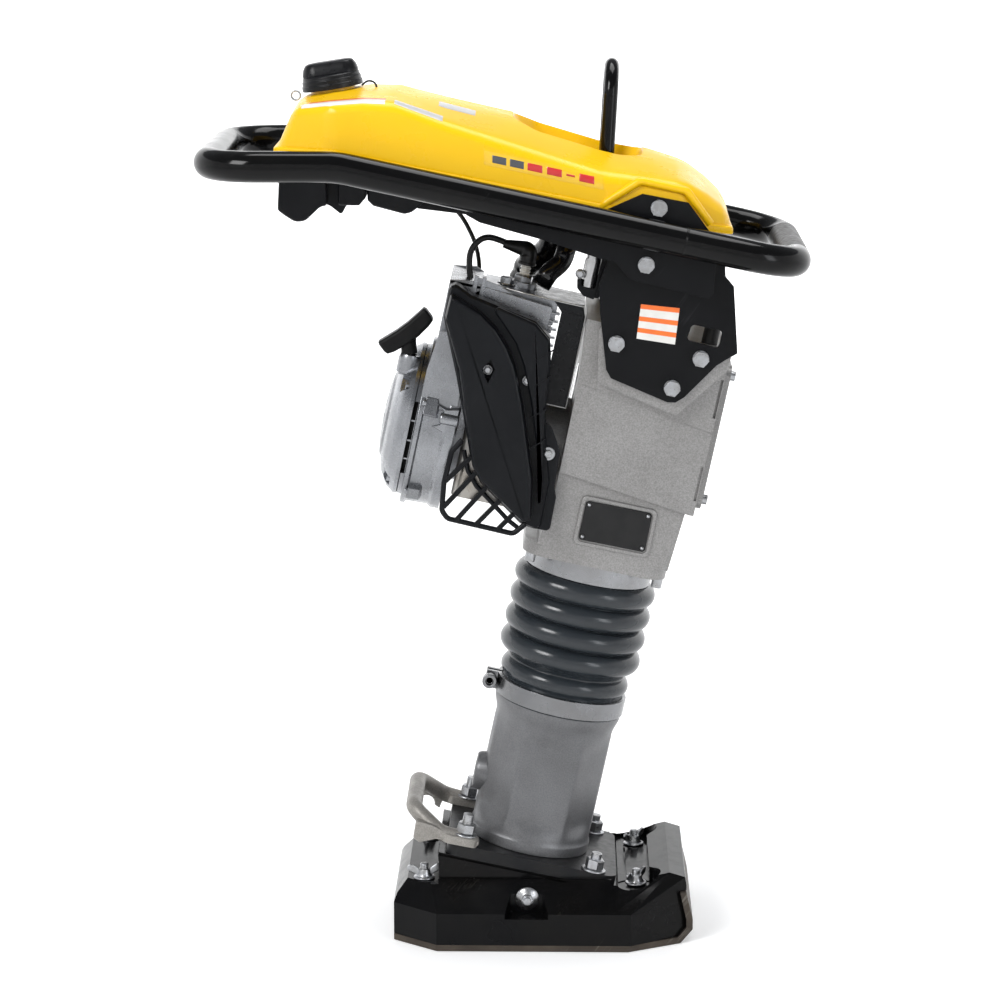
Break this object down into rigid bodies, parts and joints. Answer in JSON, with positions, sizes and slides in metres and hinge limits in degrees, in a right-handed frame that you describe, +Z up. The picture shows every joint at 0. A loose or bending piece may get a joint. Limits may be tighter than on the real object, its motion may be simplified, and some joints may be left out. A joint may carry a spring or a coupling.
{
  "type": "vibratory rammer",
  "caption": "Petrol vibratory rammer: tilted sprung leg with rubber bellows on a flat shoe, side-mounted engine, fuel tank, lifting hoop and looped guide handle.",
  "frame": {"origin": "on the floor under the middle of the sole", "axes": "+X the way the machine travels, +Y its left side, +Z up; the leg leans 12 degrees towards +X"},
  "size_m": [0.6725, 0.344, 0.9927],
  "materials": {
    "shoe_plastic": "moulded, scuffed",
    "sole_steel": "worn hardened steel",
    "zinc": "bright zinc plate",
    "flange_iron": "black paint on cast iron",
    "handle_casting": "sand cast, grey paint",
    "leg_casting": "cast, grey paint",
    "sight_glass": "brass and glass",
    "spring_steel": "shot peened",
    "bellows_rubber": "satin, dark blue-grey",
    "clamp_steel": "bright",
    "machined_steel": "machined",
    "bearing_steel": "ground",
    "crankcase_paint": "silver-grey textured paint on cast aluminium",
    "collar_aluminium": "turned",
    "name_plate": "black plate, blank",
    "engine_casting": "die cast",
    "clutch_lining": "sintered",
    "reel_plastic": "moulded",
    "ceramic": "glazed, with a plated hexagon",
    "cable_rubber": "smooth",
    "muffler_steel": "aluminised",
    "guard_plastic": "fine texture",
    "shield_steel": "black, bright cut edges",
    "hose_rubber": "glossy",
    "grip_plastic": "soft touch",
    "rope": "braided",
    "tube_paint": "gloss black powder coat",
    "roller_plastic": "moulded",
    "lever_plastic": "moulded",
    "bracket_paint": "black powder coat",
    "mount_rubber": "bonded",
    "tank_yellow": "yellow polyethylene, satin",
    "cap_plastic": "moulded",
    "housing_plastic": "moulded",
    "filter_metal": "bright can in a black bracket"
  },
  "bodies": {
    "foot": {"shoe_body": "shoe_plastic", "sole_plate": "sole_steel", "wing_bolts": "zinc", "side_bolts": "zinc", "shoe_mount_plate": "flange_iron", "shoe_studs": "zinc", "shoe_nuts": "zinc", "carry_handle": "handle_casting", "leg_casting": "leg_casting", "sight_glass": "sight_glass", "spring_lower": "spring_steel", "spring_upper": "spring_steel", "bellows": "bellows_rubber", "bellows_clamp": "clamp_steel"},
    "machine": {"guide_cylinder": "machined_steel", "gearbox_bearings": "bearing_steel", "crankcase": "crankcase_paint", "crankcase_cover": "crankcase_paint", "crankcase_screws": "zinc", "bellows_collar": "collar_aluminium", "name_plate": "name_plate", "engine_crankcase": "engine_casting", "cylinder": "engine_casting", "starter_cover": "engine_casting", "fan_housing": "engine_casting", "spark_plug": "ceramic", "plug_boot": "cable_rubber", "ignition_lead": "cable_rubber", "muffler": "muffler_steel", "muffler_guard": "guard_plastic", "heat_shield": "shield_steel", "carburettor": "engine_casting", "intake_hose": "hose_rubber", "guide_handle": "tube_paint", "throttle_cable": "cable_rubber", "rail_brackets": "bracket_paint", "side_plates": "bracket_paint", "shock_mounts": "mount_rubber", "chassis_bolts": "zinc", "fuel_tank": "tank_yellow", "lifting_hoop": "tube_paint", "air_filter_housing": "housing_plastic", "fuel_filter": "filter_metal"},
    "guide_piston": {"guide_piston": "machined_steel", "piston_rod": "machined_steel"},
    "crank_gear": {"crank_gear": "machined_steel"},
    "con_rod": {"con_rod": "machined_steel", "wrist_pin": "bearing_steel"},
    "pinion": {"pinion_drum": "machined_steel"},
    "engine_shaft": {"crankshaft": "machined_steel", "flywheel": "engine_casting", "clutch_shoes": "clutch_lining"},
    "engine_rod": {"engine_con_rod": "machined_steel"},
    "engine_piston": {"engine_piston": "machined_steel"},
    "starter_reel": {"starter_pulley": "reel_plastic"},
    "starter_grip": {"starter_handle": "grip_plastic", "starter_rope": "rope"},
    "roller": {"transport_roller": "roller_plastic"},
    "throttle": {"throttle_lever": "lever_plastic"},
    "cap": {"fuel_cap": "cap_plastic"}
  },
  "joints": [
    {"name": "leg_stroke", "type": "slide", "parent": "foot", "child": "machine", "axis": [0.2079, 0, 0.9781], "range_m": [-0.03, 0.03], "stiffness_N_per_m": 40000, "springref_m": 0.01, "deforming": ["bellows", "spring_lower", "spring_upper"]},
    {"name": "guide_piston_slide", "type": "slide", "parent": "machine", "child": "guide_piston", "axis": [0.2079, 0, 0.9781], "range_m": [0, 0.04]},
    {"name": "crank_gear_spin", "type": "hinge", "parent": "machine", "child": "crank_gear", "pos_m": [0.06409, 0, 0.62054], "axis": [0.9781, 0, -0.2079], "continuous": true},
    {"name": "con_rod_swing", "type": "hinge", "parent": "crank_gear", "child": "con_rod", "pos_m": [0.09515, 0, 0.59349], "axis": [0.9781, 0, -0.2079], "continuous": true},
    {"name": "pinion_spin", "type": "hinge", "parent": "machine", "child": "pinion", "pos_m": [0.02529, 0, 0.55339], "axis": [0.9781, 0, -0.2079], "continuous": true},
    {"name": "engine_spin", "type": "hinge", "parent": "machine", "child": "engine_shaft", "pos_m": [-0.06275, 0, 0.5721], "axis": [0.9781, 0, -0.2079], "continuous": true},
    {"name": "engine_rod_swing", "type": "hinge", "parent": "engine_shaft", "child": "engine_rod", "pos_m": [-0.058, 0, 0.55116], "axis": [0.9781, 0, -0.2079], "continuous": true},
    {"name": "engine_piston_slide", "type": "slide", "parent": "machine", "child": "engine_piston", "axis": [0.2079, 0, 0.9781], "range_m": [0, 0.039]},
    {"name": "starter_pull", "type": "slide", "parent": "machine", "child": "starter_grip", "axis": [-0.891, 0, 0.454], "range_m": [0, 0.6], "stiffness_N_per_m": 40, "springref_m": -0.5, "deforming": ["starter_rope"]},
    {"name": "starter_reel_spin", "type": "hinge", "parent": "machine", "child": "starter_reel", "pos_m": [-0.14882, 0, 0.5904], "axis": [-0.9781, 0, 0.2079], "range_deg": [0, 900]},
    {"name": "roller_spin", "type": "hinge", "parent": "machine", "child": "roller", "pos_m": [0.28, 0, 0.78039], "axis": [0, 1, 0], "continuous": true},
    {"name": "throttle_turn", "type": "hinge", "parent": "machine", "child": "throttle", "pos_m": [-0.245, 0.13, 0.856], "axis": [0, 1, 0], "range_deg": [0, 50]},
    {"name": "cap_turn", "type": "hinge", "parent": "machine", "child": "cap", "pos_m": [-0.2296, 0, 0.9575], "axis": [-0.1564, 0, 0.9877], "range_deg": [0, 90]}
  ],
  "couplings": [
    {"joint": "pinion_spin", "follows": "crank_gear_spin", "ratio": -3.9167},
    {"joint": "con_rod_swing", "follows": "crank_gear_spin", "ratio": -1},
    {"joint": "engine_rod_swing", "follows": "engine_spin", "ratio": -1},
    {"joint": "starter_reel_spin", "follows": "starter_pull", "rad_per_m": 26.1}
  ]
}
